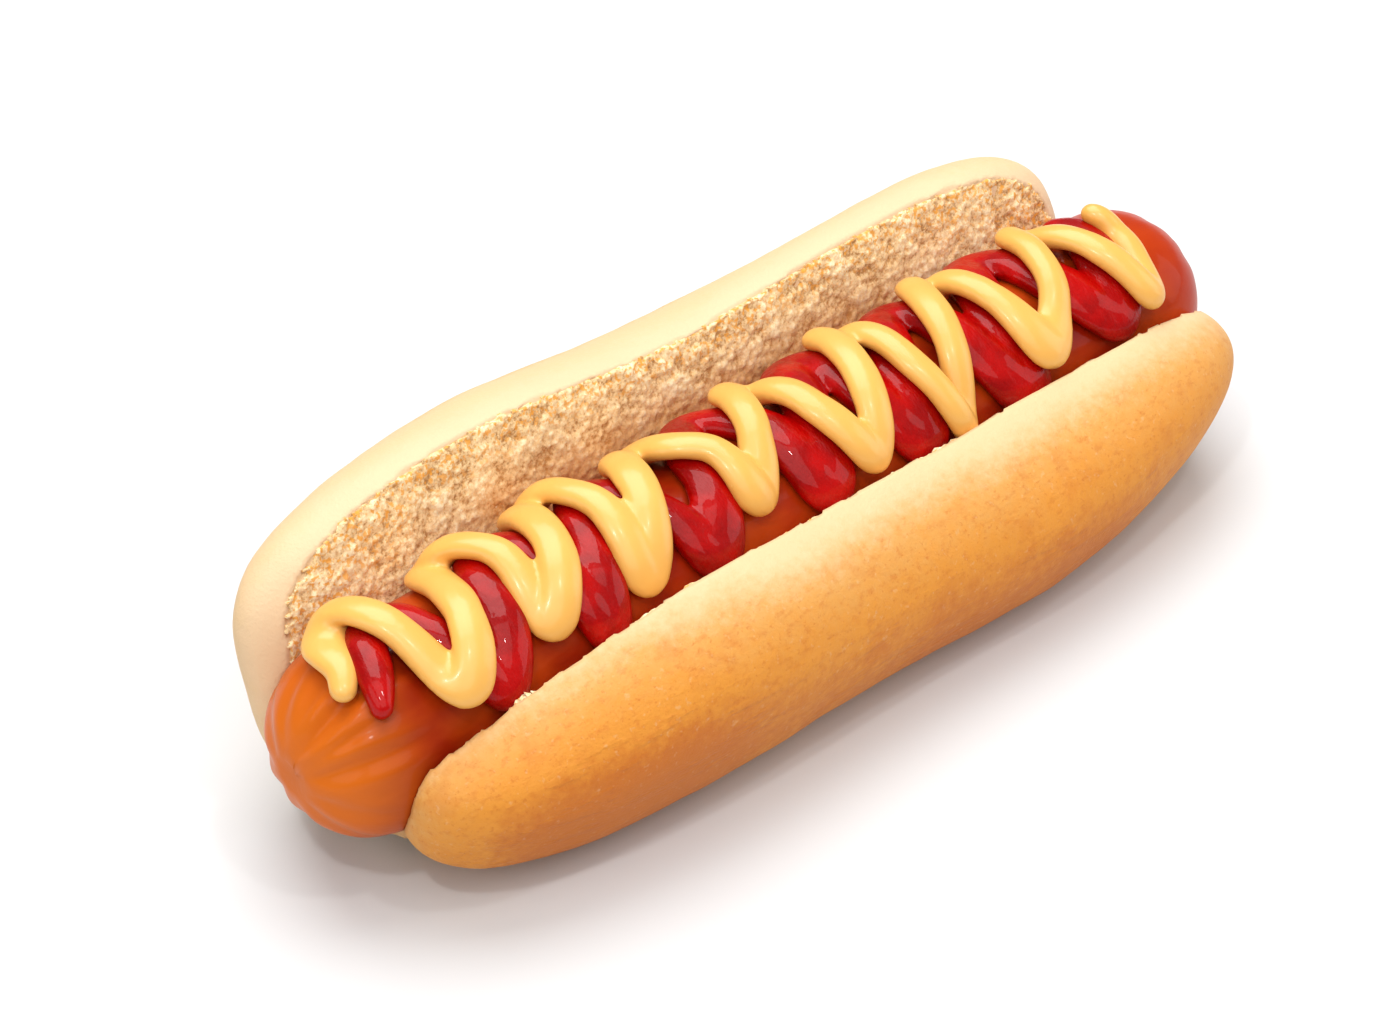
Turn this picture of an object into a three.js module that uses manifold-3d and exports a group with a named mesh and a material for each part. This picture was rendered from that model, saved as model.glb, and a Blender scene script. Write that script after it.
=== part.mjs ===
// A hot dog: a frankfurter lying in a soft roll that is split along its length and opened like a book,
// with a zigzag of ketchup squeezed along the sausage and a thinner zigzag of mustard over that.
// Millimetres and degrees. X runs along the sausage, the low half of the roll is at -Y, and +Z is up.
// Everything is laid out from the middle of the sausage, and the whole is set down on z = 0 at the end.

import * as THREE from "three";
import { ConvexGeometry } from "three/addons/geometries/ConvexGeometry.js";
import { mergeVertices } from "three/addons/utils/BufferGeometryUtils.js";
import Module from "manifold-3d";

const wasm = await Module();
wasm.setup();

// Driving dimensions of the sausage.
const SAUSAGE_LENGTH = 150;
const SAUSAGE_RADIUS = 12;
const SAUSAGE_DOME = 11;
const PUCKER_RADIUS = 2.4;
const PUCKER_DEPTH = 0.9;
const PUCKER_RIM_DEPTH = 0.3;

// Each half of the roll is a rounded loaf cut off flat: height is half its size up the cut face, bulge half
// its size across it, and pastMiddle how far the cut lies beyond its middle, so that the crust overhangs the
// cut. Its hinge lies that far out from the sausage's axis, and its middle that far along. Bread is uneven,
// so rise and swell add to its height and its bulge at five even places along UNEVEN_SPAN.
const ROLL_LENGTH = 137.6;
const HALVES = {
  front: {
    side: -1,
    along: 1.8,
    hinge: 4.3,
    height: 13.8,
    bulge: 15.5,
    pastMiddle: 3.4,
    lean: 67.4,
    squareness: 3.1,
    rise: [-0.7, 2, 0, -1.2, -0.1],
    swell: [0.5, -0.8, -1.4, 0.7, 0.5],
  },
  back: {
    side: 1,
    along: -0.5,
    hinge: 3.8,
    height: 19.3,
    bulge: 12.7,
    pastMiddle: 5.3,
    lean: 72.4,
    squareness: 3.7,
    rise: [1.5, 1.2, -1.8, -0.7, 0.7],
    swell: [-1, 1.4, 2.4, -3.5, 0.1],
  },
};
const UNEVEN_SPAN = 120;
const BULGE_ROUNDNESS = 2.2;
const HINGE_Z = -15.2;
const HEEL = { length: 132, width: 27, height: 15, squareness: 2.6, along: 0.8, z: -12 };
const FLOOR_Z = -18.1;

// Sauce strands: half the thickness, and how far above the skin a strand's middle lies. UNDER_REACH is how far
// beside the ketchup it still lifts the mustard, and LAP how far each stretch reaches into the next.
const KETCHUP = { thick: 1.8, lift: 0.9 };
const MUSTARD = { thick: 1.7, lift: 1.1 };
const UNDER_REACH = 0.6;
const STEPS_PER_ROW = 2;
const STRAND_SIDES = 8;
const LAP = 0.05;

// How finely round shapes are faceted, and the size of the blocks that cut things off.
const FACETS = { round: 28, dome: 6, body: 10, halfAround: 30, halfAlong: 20, heelAround: 24, heelAlong: 14 };
const BLOCK = 400;

// Neighbours that touch keep this gap, vertices closer than MERGED_WITHIN are one, and the slivers that cuts
// leave are smoothed away where they are thinner than SLIVER.
const GAP = 0.3;
const MERGED_WITHIN = 1e-3;
const SLIVER = 0.1;

// The zigzag that each sauce was squeezed in, from the left end, as rows of how far along the sausage, the
// angle round it (0 is its top, negative is the front), and the strand's half-width there.
const KETCHUP_PATH = [
  [-66.7, -35, 1.2], [-65.1, -20, 2.1], [-62.8, 0, 2.3], [-60.2, 13, 2.3], [-57, 8, 2.2],
  [-55.2, -17, 2.2], [-51.5, -59, 2.5], [-47.1, -29, 2.8], [-45.4, -3, 2.9], [-41.8, 21, 2.6],
  [-38.6, 13, 2.4], [-37.2, -14, 2.5], [-35.2, -60, 2.7], [-31.6, -22, 2.8], [-26.4, 21, 2.5],
  [-23.4, 11, 2.4], [-20, -22, 2.3], [-17, -53, 3.3], [-12.7, -22, 3], [-10.8, 6, 2.7], [-6.5, 34, 2.7],
  [-4.2, 25, 2.6], [-0.8, -4, 3.1], [1.8, -51, 3.6], [5.2, -22, 3.3], [10.8, 33, 2.8], [14, 22, 2.7],
  [14.5, -22, 3.3], [18, -56, 3.5], [21, -15, 3.3], [26.8, 30, 2.8], [30, 17, 2.7], [31.6, -25, 3.4],
  [35.9, -61, 3.9], [37.2, -20, 3.4], [43, 36, 2.8], [46.2, 19, 2.7], [48.6, -20, 3.3], [53.6, -52, 3.5],
  [56.4, -20, 3.4], [57.8, 6, 2.6], [56.6, 18, 1.8],
];
const MUSTARD_PATH = [
  [-69.1, -16, 1.25], [-67.6, -3, 1.85], [-66, 17, 2.7], [-62, 26, 2.1], [-59.7, -4, 1.95],
  [-57, -46, 2.5], [-51.3, -14, 1.6], [-49.3, 20, 1.75], [-44.8, 31, 1.45], [-42.3, -2, 1.8],
  [-42.2, -40, 2.45], [-36.7, -12, 1.8], [-33.4, 29, 1.9], [-28.6, 38, 1.45], [-27.3, -5, 1.85],
  [-27.9, -45, 2.5], [-22.8, -17, 1.9], [-18.5, 21, 1.8], [-14.5, 16, 1.85], [-9.8, -8, 1.65],
  [-8.9, -39, 2.25], [-3.9, -12, 1.9], [-0.8, 7, 1.75], [0.6, 24, 0.85], [3, 11, 1.3], [5.4, -22, 1.95],
  [8.8, -50, 2], [13, -20, 2], [16.6, 10, 1.75], [18.2, 32, 0.8], [19.9, 7, 1.4], [20.8, -26, 1.65],
  [23.6, -61, 1.5], [26.8, -30, 1.7], [31.1, 16, 1.9], [36.2, 15, 1.1], [37.3, -14, 1.7],
  [39.5, -47, 2.55], [45, -28, 1.75], [48, -2, 1.5], [49, 20, 1.1], [52.6, 7, 1.2], [55.6, -24, 1.65],
  [58.4, -50, 1.6], [61.2, -28, 1.35], [61.6, -7, 0.95], [60.6, 3, 0.45],
];

// A geometry as a closed solid, with the vertices that it repeats merged.
function solid(geometry) {
  const bare = new THREE.BufferGeometry().setAttribute("position", geometry.getAttribute("position"));
  if (geometry.index) bare.setIndex(geometry.index);
  const merged = mergeVertices(bare, MERGED_WITHIN);
  const mesh = { numProp: 3, vertProperties: merged.attributes.position.array, triVerts: merged.index.array };
  return new wasm.Manifold(new wasm.Mesh(mesh));
}

function union(solids) {
  return solids.reduce((whole, next) => whole.add(next));
}

function geometryOf(whole) {
  const mesh = whole.getMesh();
  const geometry = new THREE.BufferGeometry();
  geometry.setAttribute("position", new THREE.BufferAttribute(new Float32Array(mesh.vertProperties), 3));
  return geometry.setIndex(new THREE.BufferAttribute(new Uint32Array(mesh.triVerts), 1));
}

// The largest piece of a solid, without the loose scraps and flat voids that cuts leave. Its vertices are
// merged until nothing more comes apart.
function largest(whole) {
  const pieces = solid(geometryOf(whole)).decompose();
  const big = pieces.reduce((most, next) => (next.volume() > most.volume() ? next : most));
  return pieces.length > 1 ? largest(big) : big;
}

function named(name, whole, material) {
  const made = new THREE.Mesh(geometryOf(whole), new THREE.MeshStandardMaterial(material));
  made.geometry.computeVertexNormals();
  made.name = name;
  return made;
}

// A sphere drawn out to a rounded block: squareness 2 gives an ellipsoid, and more gives fuller ends.
function loaf(length, height, thickness, squareness, around, along) {
  const geometry = new THREE.SphereGeometry(1, around, along);
  geometry.rotateZ(Math.PI / 2);
  const position = geometry.getAttribute("position");
  for (let i = 0; i < position.count; i++) {
    const [x, y, z] = [position.getX(i), position.getY(i), position.getZ(i)];
    const outline = Math.abs(x) ** squareness + Math.abs(y) ** squareness;
    const size = outline ** (BULGE_ROUNDNESS / squareness) + Math.abs(z) ** BULGE_ROUNDNESS;
    const k = size ** (-1 / BULGE_ROUNDNESS);
    position.setXYZ(i, (x * k * length) / 2, (y * k * height) / 2, (z * k * thickness) / 2);
  }
  return geometry;
}

// The unevenness at a place along the roll, on a smooth curve through its values.
function uneven(values, x) {
  const curve = new THREE.SplineCurve(values.map((value, i) => new THREE.Vector2(i, value)));
  return curve.getPoint(THREE.MathUtils.clamp(x / UNEVEN_SPAN + 0.5, 0, 1)).y;
}

// One half of the roll, larger all round by grow: its cut face looks up at the sausage, and its low edge is
// the hinge.
function rollHalf(half, grow = 0) {
  const { side, along, hinge, height, bulge, pastMiddle, lean, squareness, rise, swell } = half;
  const share = (1 - (pastMiddle / bulge) ** BULGE_ROUNDNESS) ** (1 / BULGE_ROUNDNESS);
  const size = [ROLL_LENGTH + 2 * grow, 2 * (height + grow), 2 * (bulge + grow)];
  const whole = loaf(...size, squareness, FACETS.halfAround, FACETS.halfAlong);
  whole.translate(0, height * share, -pastMiddle);
  const position = whole.getAttribute("position");
  for (let i = 0; i < position.count; i++) {
    const [x, y, z] = [position.getX(i), position.getY(i), position.getZ(i)];
    const up = THREE.MathUtils.clamp(y / (2 * height * share), 0, 1);
    const deep = THREE.MathUtils.clamp(-z / (bulge + pastMiddle), 0, 1);
    position.setXYZ(i, x, y + uneven(rise, x) * up, z - uneven(swell, x) * deep);
  }
  const cutter = new THREE.BoxGeometry(BLOCK, BLOCK, BLOCK).translate(0, 0, BLOCK / 2 + grow);
  const cut = solid(whole).subtract(solid(cutter));
  const leaning = cut.rotate([lean, 0, 0]).translate([along, hinge, HINGE_Z]);
  return side < 0 ? leaning.mirror([0, 1, 0]) : leaning;
}

// The radius of the sausage's skin at a place along it, without the pucker.
function skinRadius(x) {
  const past = Math.max(0, Math.abs(x) - (SAUSAGE_LENGTH / 2 - SAUSAGE_DOME));
  return SAUSAGE_RADIUS * Math.sqrt(Math.max(0, 1 - (past / SAUSAGE_DOME) ** 2));
}

// The sausage turned on its axis: a straight body, a dome at each end, and the drawn-in pucker at each tip.
function sausageSolid(grow = 0) {
  const dome = [];
  for (let i = 1; i <= FACETS.dome; i++) {
    const angle = (i / FACETS.dome) * (Math.PI / 2);
    const past = SAUSAGE_DOME * (1 - Math.cos(angle));
    const x = SAUSAGE_LENGTH / 2 - past + grow * Math.cos(angle);
    dome.push([(SAUSAGE_RADIUS + grow) * Math.sin(angle), x]);
  }
  const tip = SAUSAGE_LENGTH / 2 + grow;
  const end = [[0, tip - PUCKER_DEPTH], [PUCKER_RADIUS, tip - PUCKER_RIM_DEPTH], ...dome];
  const half = SAUSAGE_LENGTH / 2 - SAUSAGE_DOME;
  const body = [];
  for (let i = 1; i < FACETS.body; i++) {
    body.push([SAUSAGE_RADIUS + grow, half - (2 * half * i) / FACETS.body]);
  }
  const mirrored = end.map(([radius, x]) => [radius, -x]).reverse();
  const profile = [...end, ...body, ...mirrored].map(([radius, x]) => new THREE.Vector2(radius, -x));
  const turned = new THREE.LatheGeometry(profile, FACETS.round);
  turned.rotateZ(-Math.PI / 2);
  return solid(turned);
}

// All the places of a strand, on a smooth curve through the rows of its path.
function trace(path) {
  const rows = path.map((row) => new THREE.Vector3(...row));
  const curve = new THREE.CatmullRomCurve3(rows, false, "catmullrom");
  const places = curve.getPoints((path.length - 1) * STEPS_PER_ROW);
  return places.map((place) => ({ x: place.x, angle: place.y, half: place.z }));
}

// A place on the skin laid out flat.
function flat({ x, angle }) {
  return new THREE.Vector3(x, THREE.MathUtils.degToRad(angle) * SAUSAGE_RADIUS, 0);
}

// How high the ketchup stands above the skin at a place, from its nearest stretch.
function ketchupHeight(place) {
  const spot = flat(place);
  let height = 0;
  for (let i = 1; i < ketchupTrace.length; i++) {
    const stretch = new THREE.Line3(flat(ketchupTrace[i - 1]), flat(ketchupTrace[i]));
    const nearest = stretch.closestPointToPoint(spot, true, new THREE.Vector3());
    const share = nearest.distanceTo(spot) / (ketchupTrace[i].half + UNDER_REACH);
    if (share < 1) height = Math.max(height, KETCHUP.lift + KETCHUP.thick * Math.sqrt(1 - share ** 2));
  }
  return height;
}

// The height at each place, where a strand that comes off what lies beneath it spans down to the skin.
function spanned(heights) {
  return heights.map((own, i) => {
    const before = heights[Math.max(0, i - 1)];
    const after = heights[Math.min(heights.length - 1, i + 1)];
    return Math.max(own, (before + after) / 2);
  });
}

// A strand laid on the sausage: an oval ring stands at each place, and the hulls of neighbouring rings are
// joined. Each hull reaches LAP past its rings, into the next.
function strandSolid(places, { thick, lift }, under, grow = 0) {
  const middles = places.map(({ x, angle }, i) => {
    const turn = THREE.MathUtils.degToRad(angle);
    const radius = skinRadius(x) + lift + under[i];
    return new THREE.Vector3(x, radius * Math.sin(turn), radius * Math.cos(turn));
  });
  const last = middles.length - 1;
  const ring = (i, past) => {
    const heading = middles[Math.min(i + 1, last)].clone().sub(middles[Math.max(i - 1, 0)]).normalize();
    const turn = THREE.MathUtils.degToRad(places[i].angle);
    const up = new THREE.Vector3(0, Math.sin(turn), Math.cos(turn));
    const across = new THREE.Vector3().crossVectors(heading, up).normalize();
    const points = [];
    for (let k = 0; k < STRAND_SIDES; k++) {
      const round = ((k + 0.5) / STRAND_SIDES) * 2 * Math.PI;
      const point = middles[i].clone().addScaledVector(heading, past);
      point.addScaledVector(across, (places[i].half + grow) * Math.cos(round));
      point.addScaledVector(up, (thick + grow) * Math.sin(round));
      points.push(point);
    }
    return points;
  };
  const hulls = [];
  for (let i = 1; i <= last; i++) {
    hulls.push(solid(new ConvexGeometry([...ring(i - 1, -LAP - grow), ...ring(i, LAP + grow)])));
  }
  return union(hulls);
}

// The roll: two halves and the bread of the hinge between them, hollowed where the sausage presses in, and
// flat below.
const heelSize = [HEEL.length, HEEL.width, HEEL.height];
const heel = loaf(...heelSize, HEEL.squareness, FACETS.heelAround, FACETS.heelAlong);
heel.translate(HEEL.along, 0, HEEL.z);
const halves = Object.values(HALVES);
const below = new THREE.BoxGeometry(BLOCK, BLOCK, BLOCK).translate(0, 0, FLOOR_Z - BLOCK / 2);
const roll = union([solid(heel), ...halves.map((half) => rollHalf(half))])
  .subtract(sausageSolid(GAP))
  .subtract(solid(below));

// The ketchup lies on the skin, and the mustard on both.
const ketchupTrace = trace(KETCHUP_PATH);
const bare = ketchupTrace.map(() => 0);
const rollRoom = union(halves.map((half) => rollHalf(half, GAP)));
const clearance = sausageSolid(GAP).add(rollRoom);
const ketchup = strandSolid(ketchupTrace, KETCHUP, bare).subtract(clearance);

const mustardTrace = trace(MUSTARD_PATH);
const under = spanned(mustardTrace.map(ketchupHeight));
const mustard = strandSolid(mustardTrace, MUSTARD, under)
  .subtract(strandSolid(ketchupTrace, KETCHUP, bare, GAP))
  .subtract(clearance);

// The origin goes under the middle of the whole, on the surface that it rests on.
const sausage = sausageSolid();
const room = union([roll, sausage, ketchup, mustard]).boundingBox();
const toOrigin = [-(room.min[0] + room.max[0]) / 2, -(room.min[1] + room.max[1]) / 2, -room.min[2]];
const placed = (whole) => largest(whole.translate(toOrigin).asOriginal().simplify(SLIVER));

const hotDog = new THREE.Group();
hotDog.add(
  named("bun", placed(roll), { color: 0xe9b062, roughness: 0.6, metalness: 0 }),
  named("sausage", placed(sausage), { color: 0xb8431c, roughness: 0.25, metalness: 0 }),
  named("ketchup", placed(ketchup), { color: 0xb00a08, roughness: 0.12, metalness: 0 }),
  named("mustard", placed(mustard), { color: 0xf5c25a, roughness: 0.3, metalness: 0 }),
);

export default hotDog;
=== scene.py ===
import math

import bmesh
import bpy
import numpy as np
from mathutils import Matrix, Vector, noise


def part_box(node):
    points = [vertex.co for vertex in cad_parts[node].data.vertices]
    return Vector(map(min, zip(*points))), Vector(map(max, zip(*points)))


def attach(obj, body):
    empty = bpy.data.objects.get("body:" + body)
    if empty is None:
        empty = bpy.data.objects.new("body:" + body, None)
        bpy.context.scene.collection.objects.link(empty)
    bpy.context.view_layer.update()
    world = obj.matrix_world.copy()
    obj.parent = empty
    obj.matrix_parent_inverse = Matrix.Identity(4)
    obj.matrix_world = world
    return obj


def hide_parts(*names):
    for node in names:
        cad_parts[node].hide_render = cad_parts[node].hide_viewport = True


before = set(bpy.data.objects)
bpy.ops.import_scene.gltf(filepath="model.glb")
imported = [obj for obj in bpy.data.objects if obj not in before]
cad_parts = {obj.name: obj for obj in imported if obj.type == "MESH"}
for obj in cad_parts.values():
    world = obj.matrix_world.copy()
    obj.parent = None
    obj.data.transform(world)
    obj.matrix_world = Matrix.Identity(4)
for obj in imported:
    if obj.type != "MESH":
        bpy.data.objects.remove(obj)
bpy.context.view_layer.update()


# The sausage: a frankfurter of fine meat in a thin smoked skin, glossy with its own fat.
# The skin was drawn together where it was twisted off, so creases run out from a pucker at each end.
MM = 0.001
sausage_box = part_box("sausage")
middle = (sausage_box[0] + sausage_box[1]) / 2
sausage_length = 150 * MM
sausage_radius = 12 * MM
dome = 11 * MM
dome_steps = 26
first_dome_step = 5
body_steps = 150
steps_round = 168
pucker_radius = 2.4 * MM
pucker_depth = 0.9 * MM
pucker_edge = 0.3 * MM


class Signal:
    """A socket in a sum: each expression on it adds the nodes that work it out."""

    def __init__(self, finish, socket):
        self.finish = finish
        self.socket = socket

    def maths(self, operation, first, second):
        return self.finish.node("ShaderNodeMath", {"operation": operation}, {0: first, 1: second})

    def __add__(self, other):
        return self.maths("ADD", self, other)

    __radd__ = __add__

    def __sub__(self, other):
        return self.maths("SUBTRACT", self, other)

    def __rsub__(self, other):
        return self.maths("SUBTRACT", other, self)

    def __mul__(self, other):
        return self.maths("MULTIPLY", self, other)

    __rmul__ = __mul__


class Finish:
    """A procedural material, named for the surface that it gives."""

    def __init__(self, name, **constants):
        self.material = bpy.data.materials.new(name)
        self.material.use_nodes = True
        self.tree = self.material.node_tree
        self.shader = self.tree.nodes["Principled BSDF"]
        for socket, value in constants.items():
            title = socket.replace("_", " ").title().replace("Ior", "IOR")
            self.shader.inputs[title].default_value = value

    def node(self, kind, settings=None, sockets=None, output=0):
        made = self.tree.nodes.new(kind)
        for name, value in (settings or {}).items():
            setattr(made, name, value)
        for name, value in (sockets or {}).items():
            self.feed(made.inputs[name], value)
        return Signal(self, made.outputs[output])

    def feed(self, socket, value):
        if isinstance(value, Signal):
            self.tree.links.new(value.socket, socket)
        else:
            socket.default_value = value

    def wears(self, socket, value):
        self.feed(self.shader.inputs[socket], value)

    def place(self):
        return self.node("ShaderNodeTexCoord", output="Object")

    def along(self, axis):
        return self.node("ShaderNodeSeparateXYZ", None, {0: self.place()}, output=axis)

    def attribute(self, name):
        return self.node("ShaderNodeAttribute", {"attribute_name": name}, output="Fac")

    def grain(self, size, detail=2.0, roughness=0.5, stretch=(1, 1, 1), shift=(0, 0, 0)):
        """Noise whose blobs are about size across, drawn out by stretch."""
        scale = [1 / (size * s) for s in stretch]
        placed = {"Vector": self.place(), "Scale": scale, "Location": shift}
        vector = self.node("ShaderNodeMapping", None, placed)
        sockets = {"Vector": vector, "Scale": 1.0, "Detail": detail, "Roughness": roughness}
        return self.node("ShaderNodeTexNoise", None, sockets)

    def step(self, value, start, end):
        """Runs smoothly from 0 to 1 as value runs from start to end."""
        sockets = {"Value": value, "From Min": start, "From Max": end}
        return self.node("ShaderNodeMapRange", {"interpolation_type": "SMOOTHSTEP"}, sockets)

    def blend(self, share, first, second):
        """Mixes two colours, which are sockets 6 and 7 of the node, and its result is output 2."""
        sockets = {0: share, 6: first, 7: second}
        return self.node("ShaderNodeMix", {"data_type": "RGBA"}, sockets, output=2)

    def bump(self, height, depth, strength=1.0):
        sockets = {"Strength": strength, "Distance": depth, "Height": height}
        self.wears("Normal", self.node("ShaderNodeBump", None, sockets))


def colour(red, green, blue):
    """A colour read as it looks on a screen, 0 to 255, as the linear values that a socket takes."""
    shown = [channel / 255 for channel in (red, green, blue)]
    return [c / 12.92 if c <= 0.04045 else ((c + 0.055) / 1.055) ** 2.4 for c in shown] + [1.0]


def piece(name, made, finish, node):
    """Turns a bmesh into a smooth piece of the object and says what it stands for."""
    bmesh.ops.recalc_face_normals(made, faces=made.faces)
    for face in made.faces:
        face.smooth = True
    mesh = bpy.data.meshes.new(name)
    made.to_mesh(mesh)
    made.free()
    placed = bpy.data.objects.new(name, mesh)
    bpy.context.scene.collection.objects.link(placed)
    if finish:
        mesh.materials.append(finish.material)
        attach(placed, "root")
        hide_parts(node)
    return placed


def skin_profile():
    """Half an outline of the sausage, from the left tip to the right, as places along and radii."""
    tip = -sausage_length / 2
    end = [(tip + pucker_depth, 0), (tip + pucker_edge, pucker_radius)]
    for i in range(first_dome_step, dome_steps + 1):
        angle = (i / dome_steps) * math.pi / 2
        end.append((tip + dome * (1 - math.cos(angle)), sausage_radius * math.sin(angle)))
    straight = sausage_length / 2 - dome
    body = [(straight * (2 * i / body_steps - 1), sausage_radius) for i in range(1, body_steps)]
    return end + body + [(-x, radius) for x, radius in reversed(end)]


def turned(profile, steps):
    """Spins an outline of places along and radii about the sausage's axis."""
    made = bmesh.new()
    points = [made.verts.new((x, 0, radius)) for x, radius in profile]
    edges = [made.edges.new(pair) for pair in zip(points, points[1:])]
    geometry = points + edges
    full_turn = {"cent": (0, 0, 0), "axis": (1, 0, 0), "angle": 2 * math.pi, "use_merge": True}
    bmesh.ops.spin(made, geom=geometry, steps=steps, **full_turn)
    bmesh.ops.remove_doubles(made, verts=made.verts, dist=0.01 * MM)
    return made


# Each crease, in degrees and millimetres: the angle round the sausage (0 is its top, negative is the front),
# its reach along from the tip, its depth and its width.
left_creases = [
    (3, 14, 0.7, 1.2),
    (-19, 25, 1.4, 1.1),
    (-41, 14, 0.7, 0.7),
    (-61, 22, 1.2, 1.2),
    (-104, 12, 0.6, 1.1),
    (-140, 14, 0.7, 1.2),
    (178, 12, 0.6, 1.1),
    (140, 14, 0.7, 1.2),
    (101, 12, 0.6, 1.1),
    (62, 16, 0.7, 1.2),
    (25, 12, 0.6, 1.0),
]
# The creases of the right end are turned round from those of the left, and are shorter and shallower.
right_turn = 19
right_reach = 0.35
right_depth = 0.4
right_creases = [
    (angle + right_turn, reach * right_reach, depth * right_depth, width)
    for angle, reach, depth, width in left_creases
]
creased_end = 25 * MM
lip_height = 0.35
lip_place = 1.9
skin_waves = 0.16 * MM

sausage_mesh = turned(skin_profile(), steps_round)
for vert in sausage_mesh.verts:
    x, y, z = vert.co
    radius = math.hypot(y, z)
    angle = math.degrees(math.atan2(y, z))
    sunk = 0
    for end, creases in ((-1, left_creases), (1, right_creases)):
        from_tip = sausage_length / 2 - end * x
        if from_tip > creased_end:
            continue
        for crease_angle, reach, depth, width in creases:
            off = (angle - crease_angle + 180) % 360 - 180
            across = math.radians(off) * radius / (width * MM)
            fade = max(0, 1 - from_tip / (reach * MM))
            lips = lip_height * math.exp(-((abs(across) - lip_place) ** 2))
            sunk += depth * MM * fade * fade * (math.exp(-across * across) - lips)
    uneven_skin = skin_waves * noise.noise(Vector((x / (16 * MM), y / (9 * MM), z / (9 * MM))))
    if radius > pucker_radius:
        vert.co.yz = vert.co.yz * (1 + (uneven_skin - sunk) / radius)
bmesh.ops.translate(sausage_mesh, vec=middle, verts=sausage_mesh.verts)

skin = Finish("smoked_skin", roughness=0.34, coat_weight=0.14, coat_roughness=0.06, specular_ior_level=0.08)
orange_end = colour(208, 104, 22)
red_brown = colour(160, 38, 5)
deep_brown = colour(136, 22, 3)
red_end = colour(180, 52, 14)
browned = skin.step(skin.along("X"), -76 * MM, -60 * MM)
mottle = skin.step(skin.grain(7 * MM, 3, stretch=(2, 1, 1)), 0.35, 0.7)
smoked = skin.blend(mottle, red_brown, deep_brown)
toned = skin.blend(browned * (0.8 + 0.2 * mottle), orange_end, smoked)
reddened = skin.step(skin.along("X"), 58 * MM, 70 * MM)
skin.wears("Base Color", skin.blend(0.7 * reddened, toned, red_end))
wrinkles = skin.grain(0.7 * MM, 3, stretch=(5, 1, 1))
skin.bump(wrinkles, 0.05 * MM, 0.6)
piece("frankfurter", sausage_mesh, skin, "sausage")


# The roll: soft white bread with a thin golden crust, palest beside the cut, split and opened like a book.
# The crust is baked skin in one piece round both halves and the hinge, and the sausage has pressed its bed
# into it.
# Each half, in millimetres and degrees: its side, its place along and the hinge's distance from the middle;
# the loaf's half height, its bulge behind the middle and what is left before it, its lean and how square
# its outline is; the depth where the crust begins to colour, the depth over which it browns and how much
# sooner it does so at the left end; how far the crumb sinks at its rim and how ragged that is; and the
# unevenness of its top and of its outside at five places along.
roll_length = 137.6 * MM
halves = {
    "front": {
        "side": -1, "along": 1.8, "hinge": 4.3,
        "height": 13.8, "bulge": 15.5, "past_middle": 3.4, "lean": 67.4, "squareness": 3.1,
        "pale": 0.6, "baked_over": 16, "left_sooner": 5.5, "sunk": 1.3, "ragged": -0.5,
        "rise": [-0.7, 2, 0, -1.2, -0.1],
        "swell": [0.5, -0.8, -1.4, 0.7, 0.5],
    },
    "back": {
        "side": 1, "along": -0.5, "hinge": 3.8,
        "height": 19.3, "bulge": 12.7, "past_middle": 5.3, "lean": 72.4, "squareness": 3.7,
        "pale": 7, "baked_over": 13, "left_sooner": 0, "sunk": 0.3, "ragged": 0.25,
        "rise": [1.5, 1.2, -1.8, -0.7, 0.7],
        "swell": [-1, 1.4, 2.4, -3.5, 0.1],
    },
}
uneven_span = 120 * MM
bulge_roundness = 2.2
hinge_z = -15.2 * MM
heel_size = (132 * MM, 27 * MM, 15 * MM)
heel_squareness = 2.6
heel_along = 0.8 * MM
heel_z = -12 * MM
loaf_segments = {"u_segments": 96, "v_segments": 72}
crust_grid = 0.62 * MM
crust_rounds = 5


def loaf(length, height, thickness, squareness):
    """A sphere drawn out to a rounded block: squareness 2 is an ellipsoid, and more has fuller ends."""
    made = bmesh.new()
    poles_along = Matrix.Rotation(math.pi / 2, 4, "Y")
    bmesh.ops.create_uvsphere(made, radius=1, matrix=poles_along, **loaf_segments)
    for vert in made.verts:
        x, y, z = vert.co
        outline = abs(x) ** squareness + abs(y) ** squareness
        size = outline ** (bulge_roundness / squareness) + abs(z) ** bulge_roundness
        k = size ** (-1 / bulge_roundness) / 2
        vert.co = (x * k * length, y * k * height, z * k * thickness)
    return made


def uneven(values, x):
    """The unevenness at a place along the roll, on a smooth curve through its five values."""
    at = min(max((x / uneven_span + 0.5) * 4, 0), 4)
    i = min(int(at), 3)
    t = at - i
    before, first, second, after = (values[min(max(j, 0), 4)] for j in range(i - 1, i + 3))
    lean_in, lean_out = (second - before) / 2, (after - first) / 2
    return (
        first
        + lean_in * t
        + (3 * (second - first) - 2 * lean_in - lean_out) * t * t
        + (2 * (first - second) + lean_in + lean_out) * t ** 3
    )


def cut_share(half):
    """The size of the cut face beside the loaf's middle section."""
    return (1 - (half["past_middle"] / half["bulge"]) ** bulge_roundness) ** (1 / bulge_roundness)


def stand(made, half):
    """Leans a half, made with its cut face up and its hinge at y = 0, against the sausage."""
    leaned = Matrix.Rotation(math.radians(half["lean"]), 3, "X")
    bmesh.ops.rotate(made, cent=(0, 0, 0), matrix=leaned, verts=made.verts)
    bmesh.ops.translate(made, vec=(half["along"] * MM, half["hinge"] * MM, hinge_z), verts=made.verts)
    bmesh.ops.scale(made, vec=(1, half["side"], 1), verts=made.verts)
    bmesh.ops.translate(made, vec=middle, verts=made.verts)


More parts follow.
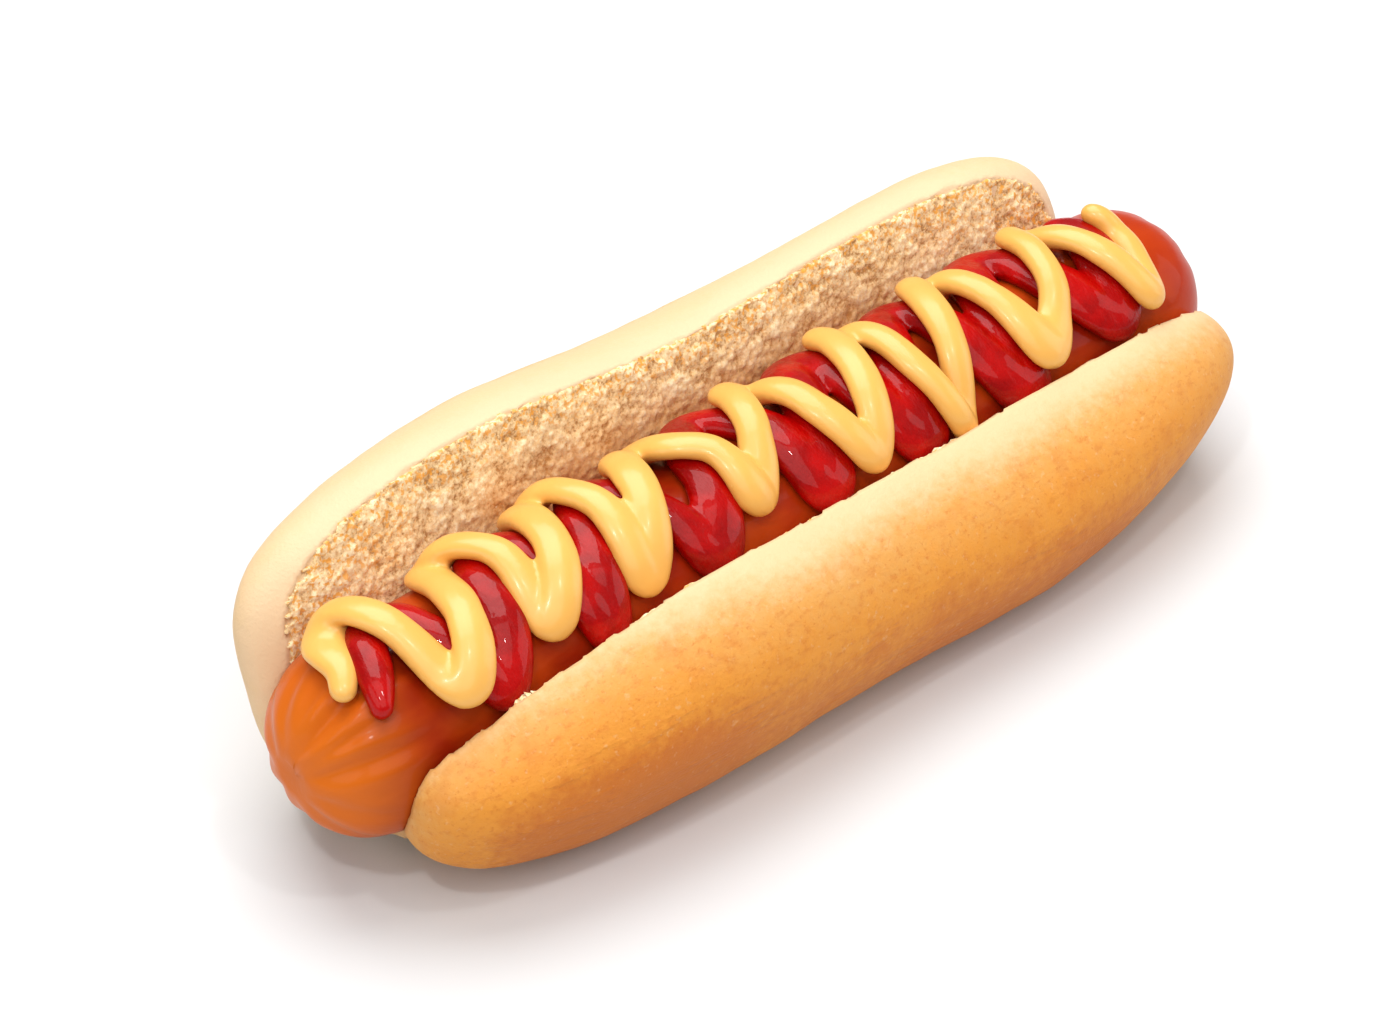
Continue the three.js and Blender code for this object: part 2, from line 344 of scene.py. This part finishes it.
def half_of_roll(half):
    share = cut_share(half)
    height, bulge, past_middle = (half[key] * MM for key in ("height", "bulge", "past_middle"))
    made = loaf(roll_length, 2 * height, 2 * bulge, half["squareness"])
    bmesh.ops.translate(made, vec=(0, height * share, -past_middle), verts=made.verts)
    for vert in made.verts:
        x, y, z = vert.co
        up = min(max(y / (2 * height * share), 0), 1)
        deep = min(max(-z / (bulge + past_middle), 0), 1)
        vert.co.y += uneven(half["rise"], x) * MM * up
        vert.co.z -= uneven(half["swell"], x) * MM * deep
    whole = made.verts[:] + made.edges[:] + made.faces[:]
    cut_plane = {"plane_co": (0, 0, 0), "plane_no": (0, 0, 1), "clear_outer": True}
    cut = bmesh.ops.bisect_plane(made, geom=whole, **cut_plane)
    rim = [edge for edge in cut["geom_cut"] if isinstance(edge, bmesh.types.BMEdge)]
    bmesh.ops.holes_fill(made, edges=rim, sides=0)
    bmesh.ops.triangulate(made, faces=made.faces)
    stand(made, half)
    bmesh.ops.recalc_face_normals(made, faces=made.faces)
    return made


def joined(parts):
    """Several bmeshes in one."""
    whole = bmesh.new()
    for part in parts:
        mesh = bpy.data.meshes.new("part")
        part.to_mesh(mesh)
        part.free()
        whole.from_mesh(mesh)
        bpy.data.meshes.remove(mesh)
    return whole


def melted(made, grain_size, rounds):
    """Melts overlapping shells into one skin of even small faces, and smooths it."""
    rough = piece("rough", made, None, None)
    remesh = rough.modifiers.new("melt", "REMESH")
    remesh.mode = "VOXEL"
    remesh.voxel_size = grain_size
    smooth = rough.modifiers.new("smooth", "SMOOTH")
    smooth.factor = 0.5
    smooth.iterations = rounds
    worked_out = bpy.context.evaluated_depsgraph_get()
    shape = bpy.data.meshes.new_from_object(rough.evaluated_get(worked_out))
    whole = bmesh.new()
    whole.from_mesh(shape)
    old = rough.data
    bpy.data.objects.remove(rough)
    bpy.data.meshes.remove(old)
    bpy.data.meshes.remove(shape)
    return whole


def ease(value, start, end):
    """Runs smoothly from 0 to 1 as value runs from start to end, for arrays."""
    t = np.clip((value - start) / (end - start), 0, 1)
    return t * t * (3 - 2 * t)


def behind_cut(places, half):
    """How deep behind a half's cut face each place lies."""
    local = (places - np.array(middle)) * np.array([1, half["side"], 1])
    y = local[:, 1] - half["hinge"] * MM
    z = local[:, 2] - hinge_z
    lean = math.radians(half["lean"])
    return y * math.sin(lean) - z * math.cos(lean)


def places_of(made):
    return np.array([vert.co for vert in made.verts])


def paint(made, name, values):
    """Keeps a number for each vertex under a name that the finish reads."""
    layer = made.verts.layers.float.new(name)
    for vert, value in zip(made.verts, values):
        vert[layer] = value


heel = loaf(*heel_size, heel_squareness)
bmesh.ops.translate(heel, vec=middle + Vector((heel_along, 0, heel_z)), verts=heel.verts)
shells = [half_of_roll(half) for half in halves.values()] + [heel]
crust_mesh = melted(joined(shells), crust_grid, crust_rounds)

# The crust behind each cut face is set back under the crumb, and the sausage's bed is pressed out of it.
# The bake is 0 where the crust begins to colour and 1 where it is brown.
floor_z = 0
crumb_sunk = 0.5 * MM
bed_gap = 0.15 * MM
right_sooner = 2
left_span = (15 * MM, 55 * MM)
right_span = (45 * MM, 65 * MM)
cut_skin = (-0.6 * MM, 0.45 * MM)
least_bake = -0.4
most_bake = 1.2
places = places_of(crust_mesh)
bake = np.full(len(places), 1.0)
for half in halves.values():
    deep = behind_cut(places, half)
    own = (places[:, 1] - middle.y) * half["side"] > 0
    to_left = ease(-places[:, 0], *left_span)
    to_right = ease(places[:, 0], *right_span)
    sooner = half["left_sooner"] * to_left + right_sooner * to_right
    baked_there = (deep / MM + sooner - half["pale"]) / half["baked_over"]
    bake = np.where(own, np.clip(baked_there, least_bake, most_bake), bake)
    sunk = own & (deep > cut_skin[0]) & (deep < cut_skin[1])
    lean = math.radians(half["lean"])
    inward = np.array([0, half["side"] * math.sin(lean), -math.cos(lean)])
    places[sunk] += inward * crumb_sunk
from_axis = places - np.array(middle)
radius = np.hypot(from_axis[:, 1], from_axis[:, 2])
past = np.maximum(0, np.abs(from_axis[:, 0]) - (sausage_length / 2 - dome))
bed = sausage_radius * np.sqrt(np.maximum(0, 1 - (past / dome) ** 2)) + bed_gap
pressed = (radius < bed) & (past < dome)
push = np.where(pressed, bed / np.maximum(radius, 0.1 * MM), 1)
places[:, 1] = middle.y + from_axis[:, 1] * push
places[:, 2] = np.maximum(middle.z + from_axis[:, 2] * push, floor_z)
for vert, place in zip(crust_mesh.verts, places):
    broad_waves = noise.noise(Vector(place) / (9 * MM)) * 0.22 * MM
    small_waves = noise.noise(Vector(place) / (3 * MM)) * 0.05 * MM
    vert.co = Vector(place) + vert.normal * (broad_waves + small_waves)
    vert.co.z = max(vert.co.z, floor_z)
paint(crust_mesh, "bake", bake)

crust = Finish("golden_crust", roughness=0.55, specular_ior_level=0.3)
palest = colour(224, 191, 151)
cream = colour(222, 188, 142)
golden = colour(212, 153, 78)
tan = colour(217, 140, 46)
brown = colour(190, 99, 24)
blotches = crust.grain(9 * MM, 4, 0.55, stretch=(1.6, 1, 1)) - 0.5
mottle = crust.grain(1.3 * MM, 3, 0.6) - 0.5
baked = crust.attribute("bake") + 0.35 * blotches + 0.3 * mottle
toned = crust.blend(crust.step(baked, -0.35, 0), palest, cream)
toned = crust.blend(crust.step(baked, 0.08, 0.56), toned, golden)
toned = crust.blend(crust.step(baked, 0.4, 0.9), toned, tan)
toned = crust.blend(0.8 * crust.step(baked, 0.88, 1.15), toned, brown)
specks = crust.step(crust.grain(0.5 * MM, 2), 0.6, 0.74) * crust.step(baked, 0.15, 0.7)
pale_flecks = crust.step(crust.grain(0.8 * MM, 2, shift=(4, 9, 2)), 0.62, 0.76)
toned = crust.blend(0.45 * specks, toned, brown)
in_crust = crust.step(baked, 0.2, 0.6)
scorched = crust.grain(1.1 * MM, 3, 0.65, stretch=(1.5, 1, 1), shift=(2, 1, 6))
scorched = crust.step(scorched, 0.5, 0.72)
toned = crust.blend(0.38 * scorched * in_crust, toned, brown)
patchy = crust.step(crust.grain(4.5 * MM, 3, 0.6, shift=(8, 3, 1)), 0.5, 0.7)
toned = crust.blend(0.24 * patchy * in_crust, toned, brown)
crust.wears("Base Color", crust.blend(0.25 * pale_flecks, toned, cream))
wrinkles = crust.step(crust.grain(2.2 * MM, 3, 0.5, stretch=(7, 1, 1)), 0.5, 0.66)
wrinkles = wrinkles * crust.step(baked, 0.7, 1.1)
crust.bump(crust.grain(0.45 * MM, 3, 0.6) + 1.3 * wrinkles, 0.12 * MM, 0.8)
piece("roll_crust", crust_mesh, crust, "bun")


# The crumb: the open inside of the bread on both cut faces, torn grains of soft dough, toasted golden beside
# the crust, with a painted highlight where grains stand out, painted shade in the pits between them and
# painted shade further in from the rim. The far face shows whole, and the near one only as crumbs along its
# rim. Each is a fine grid, cut to the face's outline, with a skirt down into the crust.
grid_pitch = 0.3 * MM
rim_width = 2.2 * MM
margin_along = 1 * MM
margin_up = 3 * MM
skirt_depth = 1.6 * MM
grain_pitch = 0.95 * MM
lump_pitch = 3.2 * MM
fine_pitch = 0.55 * MM
rag_pitch = 0.9 * MM
rag_depth = 0.35
tuft_pitch = 5 * MM
tuft_start = 0.28
tuft_strength = 2.4
deepest_in_rim = 20


def crumb_relief(x, y):
    """How far the torn bread stands out of the cut face at a place on it."""
    grains = 0.5 - noise.voronoi(Vector((x, y, 0)) / grain_pitch)[0][0]
    lumps = noise.noise(Vector((x, y, 7 * MM)) / lump_pitch)
    fine = noise.noise(Vector((x, y, 3 * MM)) / fine_pitch)
    return (0.5 * grains + 0.3 * lumps + 0.16 * fine) * MM


def crumb_face(half):
    share = cut_share(half)
    reach, tall = roll_length / 2 * share, half["height"] * MM * share
    made = bmesh.new()
    wide, high = reach + margin_along, tall + margin_up
    columns, rows = round(2 * wide / grid_pitch), round(2 * high / grid_pitch)
    bmesh.ops.create_grid(made, x_segments=columns, y_segments=rows, size=1)
    bmesh.ops.scale(made, vec=(wide, high, 1), verts=made.verts)
    edge_layer = made.verts.layers.float.new("edge")
    relief_layer = made.verts.layers.float.new("relief")
    outside = []
    for vert in made.verts:
        x, y = vert.co.x, vert.co.y
        up = min(max((y + tall) / (2 * tall), 0), 1)
        y -= uneven(half["rise"], x) * MM * up
        square = half["squareness"]
        edge = (abs(x / reach) ** square + abs(y / tall) ** square) ** (1 / square)
        ragged = rag_depth * noise.noise(Vector((vert.co.x, vert.co.y, 0)) / rag_pitch) + half["ragged"]
        if (edge - 1) * tall > ragged * MM:
            outside.append(vert)
        relief = crumb_relief(vert.co.x, vert.co.y)
        from_rim = (1 - edge) * tall
        tufted = noise.noise(Vector((vert.co.x, 11 * MM, 5 * MM)) / tuft_pitch)
        tuft = max(0, tufted - tuft_start) * tuft_strength
        vert[edge_layer] = min(max(from_rim / MM, 0), deepest_in_rim)
        vert[relief_layer] = relief / MM
        near_rim = max(0, 1 - max(0, from_rim) / rim_width)
        vert.co.z = relief - half["sunk"] * MM * near_rim * (1 - tuft)
    bmesh.ops.delete(made, geom=outside, context="VERTS")
    loose = [face for face in made.faces if all(not e.is_manifold for e in face.edges)]
    bmesh.ops.delete(made, geom=loose, context="FACES")
    rim = [edge for edge in made.edges if edge.is_boundary]
    skirt = bmesh.ops.extrude_edge_only(made, edges=rim)
    low = [vert for vert in skirt["geom"] if isinstance(vert, bmesh.types.BMVert)]
    for vert in low:
        vert.co.z = -skirt_depth
    bmesh.ops.translate(made, vec=(0, tall, 0), verts=made.verts)
    stand(made, half)
    for vert in made.verts:
        from_axis = vert.co - middle
        radius = math.hypot(from_axis.y, from_axis.z)
        bed_radius = sausage_radius + bed_gap
        if radius < bed_radius and abs(from_axis.x) < sausage_length / 2 - dome:
            vert.co.yz = middle.yz + from_axis.yz * bed_radius / max(radius, 0.1 * MM)
    return made


crumb = Finish("torn_crumb", roughness=0.85, specular_ior_level=0.2)
beige = colour(238, 206, 154)
painted_grain_highlight = colour(255, 240, 198)
painted_pit_shade = colour(176, 128, 76)
toast = colour(232, 160, 62)
painted_shade_tan = colour(200, 136, 74)
from_rim = crumb.attribute("edge")
specked = crumb.grain(0.42 * MM, 2, 0.6) - 0.5
lumpy = crumb.grain(6 * MM, 3) - 0.5
height = crumb.attribute("relief") + 1.3 * specked + 0.5 * lumpy
# Painted shade in the pits and painted highlight on the grain tops: the colour follows how far the bread
# stands out.
toned = crumb.blend(crumb.step(height, -0.45, 0.02), painted_pit_shade, beige)
toned = crumb.blend(crumb.step(height, -0.02, 0.4), toned, painted_grain_highlight)
# Painted shade with a warm bounce: the crumb turns darker tan further in from its rim.
painted_shade_further_in = crumb.step(from_rim + 4 * lumpy, 3.5, 10.5)
toned = crumb.blend(0.76 * painted_shade_further_in, toned, painted_shade_tan)
near_crust = 1 - crumb.step(from_rim + 5 * lumpy, 0.6, 6)
toasted = crumb.step(crumb.grain(0.6 * MM, 2, shift=(3, 5, 7)), 0.5, 0.62)
crumb.wears("Base Color", crumb.blend(toasted * (0.06 + 0.8 * near_crust), toned, toast))
crumb.bump(crumb.grain(0.3 * MM, 2), 0.15 * MM, 0.7)
for name, half in halves.items():
    piece("crumb_" + name, crumb_face(half), crumb, "bun")


# The ketchup: thick tomato sauce squeezed from a bottle in a zigzag along the sausage. It is one wide
# strand with a rounded top, and its turns hang down both sides. It stays wet and glossy.
# Each row, in millimetres and degrees: how far along, the angle round the sausage (negative is the front)
# and the half-width there. Lift is the height of the strand's middle above the skin.
ketchup_rows = [
    (-66.7, -35, 1.2), (-65.1, -20, 2.1), (-62.8, 0, 2.3), (-60.2, 13, 2.3), (-57, 8, 2.2),
    (-55.2, -17, 2.2), (-51.5, -59, 2.5), (-47.1, -29, 2.8), (-45.4, -3, 2.9), (-41.8, 21, 2.6),
    (-38.6, 13, 2.4), (-37.2, -14, 2.5), (-35.2, -60, 2.7), (-31.6, -22, 2.8), (-26.4, 21, 2.5),
    (-23.4, 11, 2.4), (-20, -22, 2.3), (-17, -53, 3.3), (-12.7, -22, 3), (-10.8, 6, 2.7),
    (-6.5, 34, 2.7), (-4.2, 25, 2.6), (-0.8, -4, 3.1), (1.8, -51, 3.6), (5.2, -22, 3.3),
    (10.8, 33, 2.8), (14, 22, 2.7), (14.5, -22, 3.3), (18, -56, 3.5), (21, -15, 3.3),
    (26.8, 30, 2.8), (30, 17, 2.7), (31.6, -25, 3.4), (35.9, -61, 3.9), (37.2, -20, 3.4),
    (43, 36, 2.8), (46.2, 19, 2.7), (48.6, -20, 3.3), (53.6, -52, 3.5), (56.4, -20, 3.4),
    (57.8, 6, 2.6), (56.6, 18, 1.8),
]
ketchup_thick = 1.8
ketchup_lift = 0.9
ketchup_wider = 0.3
ketchup_grid = 0.36 * MM
ketchup_rounds = 8
bead_pitch = 0.45
bead_unevenness = 0.07
bead_waves = 5
skin_straight = 64
skin_round = 12
skin_dome = 11


def trace(rows, steps=22):
    """All the places of a strand on a smooth curve through its rows."""
    made = []
    rows = np.array([2 * np.array(rows[0]) - rows[1], *rows, 2 * np.array(rows[-1]) - rows[-2]])
    for before, first, second, after in zip(rows, rows[1:], rows[2:], rows[3:]):
        for i in range(steps):
            t = i / steps
            lean_in, lean_out = (second - before) / 2, (after - first) / 2
            risen = 3 * t * t - 2 * t ** 3
            bent = lean_in * t * (1 - t) ** 2 - lean_out * t * t * (1 - t)
            made.append(first + (second - first) * risen + bent)
    return made


def skin_radius(x):
    """The sausage's radius at a place along it, in millimetres."""
    past = max(0, abs(x) - skin_straight)
    return skin_round * math.sqrt(max(0, 1 - (past / skin_dome) ** 2))


def strand(places, thick, lift, under, wider, grain_size, rounds):
    """A strand of sauce: flat beads along its path melted into one."""
    made = bmesh.new()
    last = None
    for (x, angle, half), height in zip(places, under):
        turn = math.radians(angle)
        radius = skin_radius(x) + lift + height
        spot = Vector((x, radius * math.sin(turn), radius * math.cos(turn)))
        if last is not None and (spot - last).length < bead_pitch:
            continue
        last = spot
        swell = 1 + bead_unevenness * noise.noise(spot / bead_waves)
        broad = (half + wider) * swell
        put = Matrix.Translation(middle) @ Matrix.Scale(MM, 4) @ Matrix.Translation(spot)
        turned_out = put @ Matrix.Rotation(-turn, 4, "X")
        bead = turned_out @ Matrix.Diagonal((broad, broad, thick * swell, 1))
        bmesh.ops.create_icosphere(made, subdivisions=2, radius=1, matrix=bead)
    return melted(made, grain_size, rounds)


ketchup_places = trace(ketchup_rows)
on_skin = [0] * len(ketchup_places)
ketchup_size = (ketchup_thick, ketchup_lift, on_skin, ketchup_wider, ketchup_grid, ketchup_rounds)
ketchup_mesh = strand(ketchup_places, *ketchup_size)
wet = {"roughness": 0.4, "coat_weight": 0.32, "coat_roughness": 0.02, "specular_ior_level": 0.08}
ketchup = Finish("wet_ketchup", **wet)
bright_red = colour(172, 2, 1)
dark_red = colour(142, 1, 1)
clouded = ketchup.step(ketchup.grain(5 * MM, 2), 0.35, 0.65)
ketchup.wears("Base Color", ketchup.blend(clouded, bright_red, dark_red))
ketchup.bump(ketchup.grain(1.2 * MM, 3, 0.6, stretch=(1, 2, 2)), 0.4 * MM, 0.9)
piece("ketchup_strand", ketchup_mesh, ketchup, "ketchup")


# The mustard: smooth yellow sauce squeezed in a thinner zigzag over the ketchup. It is one soft strand that
# thickens where it slows at the front turns, and lies on the ketchup or on the skin. Bridged and eased count
# the places of its path over which it spans a gap between the ketchup's strands and comes down again.
mustard_rows = [
    (-68.8, -14, 1.25), (-67.4, -4, 1.65), (-66, 17, 2.55), (-62.8, 24, 2.1), (-60.1, -6, 1.95),
    (-57, -46, 2.5), (-51.6, -15, 2), (-48, 32, 2.3), (-46.3, 29, 2.2), (-43.7, 12, 1.8),
    (-42.3, -4, 1.9), (-42.2, -40, 2.45), (-36.8, -13, 2.1), (-33, 33, 2.3), (-30.1, 37, 2.25),
    (-28.7, 13, 1.8), (-27.6, -6, 1.85), (-27.7, -44, 2.5), (-23, -17, 2.2), (-19, 19, 2.2),
    (-15, 33, 2.25), (-13.8, 7, 1.85), (-10.3, -10, 1.7), (-8.6, -38, 2.25), (-3.9, -12, 1.9),
    (-1.6, 8, 1.9), (-0.6, 21, 1.8), (2.6, 19, 1.8), (4.4, -2, 1.85), (5.4, -22, 1.95),
    (8.8, -50, 2), (13, -20, 2), (15.6, 9, 1.9), (16.4, 26, 1.6), (19.2, 22, 1.6),
    (20.3, 0, 1.65), (20.8, -26, 1.7), (23.6, -61, 1.5), (26.8, -30, 1.75), (31, 12, 1.9),
    (32.8, 24, 1.7), (35.6, 18, 1.7), (36.9, -4, 1.7), (37.3, -14, 1.75), (39.5, -47, 2.55),
    (45, -28, 1.8), (47.8, -2, 1.6), (49, 18, 1.5), (52.2, 12, 1.6), (55.6, -24, 1.7),
    (58.4, -50, 1.7), (61, -28, 1.6), (61.4, -7, 1.4), (60.2, 4, 1),
]
mustard_thick = 1.45
mustard_lift = 1.1
mustard_wider = 0.55
mustard_grid = 0.3 * MM
mustard_rounds = 14
ketchup_reach = 0.4
bridged = 8
eased = 16


def ketchup_heights(places):
    """How high the ketchup stands above the skin at each place of a strand, smoothed by the bridging."""
    flat = np.array([(x, math.radians(angle) * skin_round) for x, angle, _ in ketchup_places])
    halves_there = np.array([half for _, _, half in ketchup_places])
    heights = []
    for x, angle, _ in places:
        away = np.hypot(flat[:, 0] - x, flat[:, 1] - math.radians(angle) * skin_round)
        nearest = float((away / (halves_there + ketchup_reach)).min())
        standing = ketchup_lift + ketchup_thick * math.sqrt(max(0, 1 - nearest ** 2))
        heights.append(standing if nearest < 1 else 0)
    padded = np.pad(heights, bridged + eased, mode="edge")
    highest = [padded[i:i + 2 * bridged + 1].max() for i in range(len(padded) - 2 * bridged)]
    window = np.hanning(2 * eased + 3)[1:-1]
    return np.convolve(highest, window / window.sum(), mode="valid")


mustard_places = trace(mustard_rows)
on_ketchup = ketchup_heights(mustard_places)
mustard_size = (mustard_thick, mustard_lift, on_ketchup, mustard_wider, mustard_grid, mustard_rounds)
mustard_mesh = strand(mustard_places, *mustard_size)
smooth = {"roughness": 0.32, "coat_weight": 0.2, "coat_roughness": 0.15, "specular_ior_level": 0.4}
mustard = Finish("smooth_mustard", **smooth)
warm_yellow = colour(234, 178, 90)
deep_yellow = colour(226, 165, 75)
mustard.wears("Base Color", mustard.blend(mustard.grain(6 * MM, 2), warm_yellow, deep_yellow))
mustard.bump(mustard.grain(2.4 * MM, 3), 0.12 * MM, 0.5)
piece("mustard_strand", mustard_mesh, mustard, "mustard")


# The studio: a wide white table, two large soft lights high behind and before the roll, a weak one at each
# end, and two small ones that put glints on the wet sauces.
table_half = 3
room_light = 0.235
floor_mesh = bmesh.new()
bmesh.ops.create_grid(floor_mesh, x_segments=1, y_segments=1, size=table_half)
floor = piece("table", floor_mesh, None, None)
white_table = Finish("white_table", roughness=0.6, base_color=(0.65, 0.65, 0.65, 1))
floor.data.materials.append(white_table.material)

world = bpy.data.worlds.new("studio")
world.use_nodes = True
backdrop = world.node_tree.nodes["Background"]
backdrop.inputs["Color"].default_value = (1, 1, 1, 1)
backdrop.inputs["Strength"].default_value = room_light
bpy.context.scene.world = world


def soft_light(name, place, size, power):
    """A square soft light that faces the hot dog."""
    lamp = bpy.data.lights.new(name, "AREA")
    lamp.shape = "SQUARE"
    lamp.size = size
    lamp.energy = power
    holder = bpy.data.objects.new(name, lamp)
    holder.location = place
    holder.rotation_mode = "QUATERNION"
    holder.rotation_quaternion = (Vector(place) - middle).to_track_quat("Z", "Y")
    bpy.context.scene.collection.objects.link(holder)


soft_light("high_back", (0.2, 0.35, 0.95), 0.9, 12)
soft_light("high_front", (-0.28, -0.55, 0.95), 1.2, 7.4)
soft_light("left_fill", (-0.9, 0.05, 0.55), 0.6, 2)
soft_light("right_fill", (0.8, -0.5, 0.35), 0.6, 2)
soft_light("left_glint", (-0.5, -0.25, 0.95), 0.06, 1.8)
soft_light("right_glint", (0.05, -0.4, 1.0), 0.06, 1)

# The camera stands where the photo's did, worked out from the outlines of the sausage and the roll.
camera_data = bpy.data.cameras.new("camera")
camera_data.lens = 122.1
camera_data.sensor_width = 36
camera_data.clip_start = 0.01
camera = bpy.data.objects.new("camera", camera_data)
camera.location = middle + Vector((-324.5, -333.55, 361.29)) * MM
camera.rotation_mode = "QUATERNION"
camera.rotation_quaternion = Vector((0.5413, 0.5740, -0.6144)).to_track_quat("-Z", "Y")
bpy.context.scene.collection.objects.link(camera)
bpy.context.scene.camera = camera
bpy.context.scene.view_settings.view_transform = "Standard"
